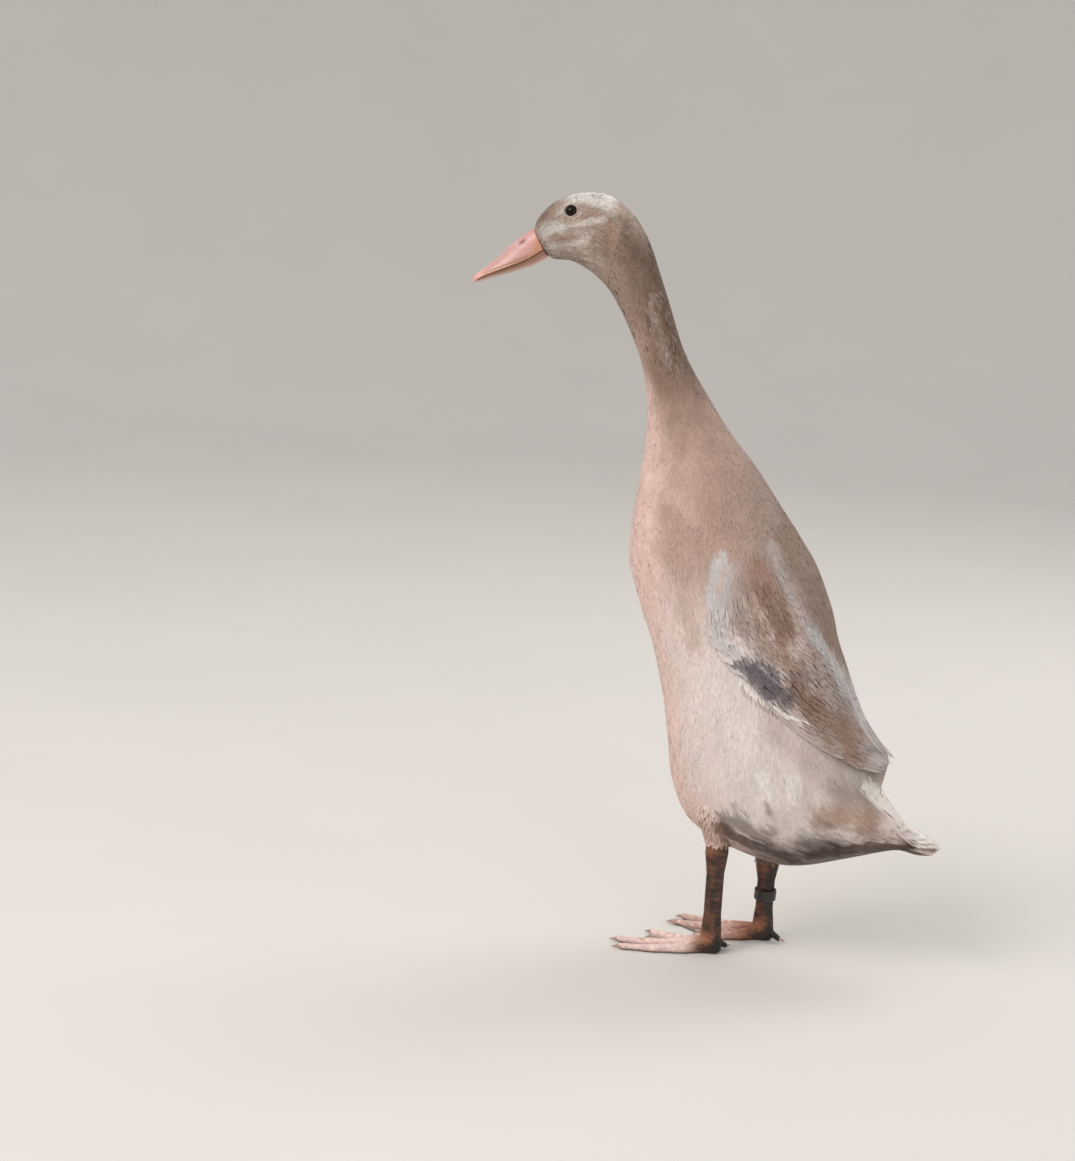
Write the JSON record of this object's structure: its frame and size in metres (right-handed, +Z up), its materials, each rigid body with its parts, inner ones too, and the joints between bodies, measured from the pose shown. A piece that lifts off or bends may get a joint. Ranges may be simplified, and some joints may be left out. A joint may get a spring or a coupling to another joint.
{
  "type": "indian runner duck",
  "caption": "Still life-size fawn indian runner duck, standing upright on two flat webbed feet, wings folded, head level and bill sloping down.",
  "frame": {"origin": "on the floor, under the middle of the bird's box", "axes": "+Z up along the bird's height; the bird faces -Y and its left side is +X"},
  "size_m": [0.1296, 0.4105, 0.6006],
  "materials": {
    "plumage": "soft body feathers",
    "wing_plumage": "smooth vaned feathers",
    "bill": "satin horn",
    "eye": "wet gloss",
    "leg_skin": "scaled skin, muddy",
    "claw": "satin horn",
    "ring": "dull"
  },
  "bodies": {
    "root": {"head": "plumage", "bill_upper": "bill", "bill_lower": "bill", "eye_left": "eye", "eye_right": "eye", "neck_upper": "plumage", "neck_lower": "plumage", "torso": "plumage", "tail": "wing_plumage", "wing_left": "wing_plumage", "wing_right": "wing_plumage", "thigh_left": "plumage", "thigh_right": "plumage", "shank_left": "leg_skin", "shank_right": "leg_skin", "foot_left": "leg_skin", "foot_right": "leg_skin", "claw_left_inner": "claw", "claw_left_middle": "claw", "claw_left_outer": "claw", "claw_left_hind": "claw", "claw_right_inner": "claw", "claw_right_middle": "claw", "claw_right_outer": "claw", "claw_right_hind": "claw", "leg_ring": "ring"}
  },
  "joints": []
}
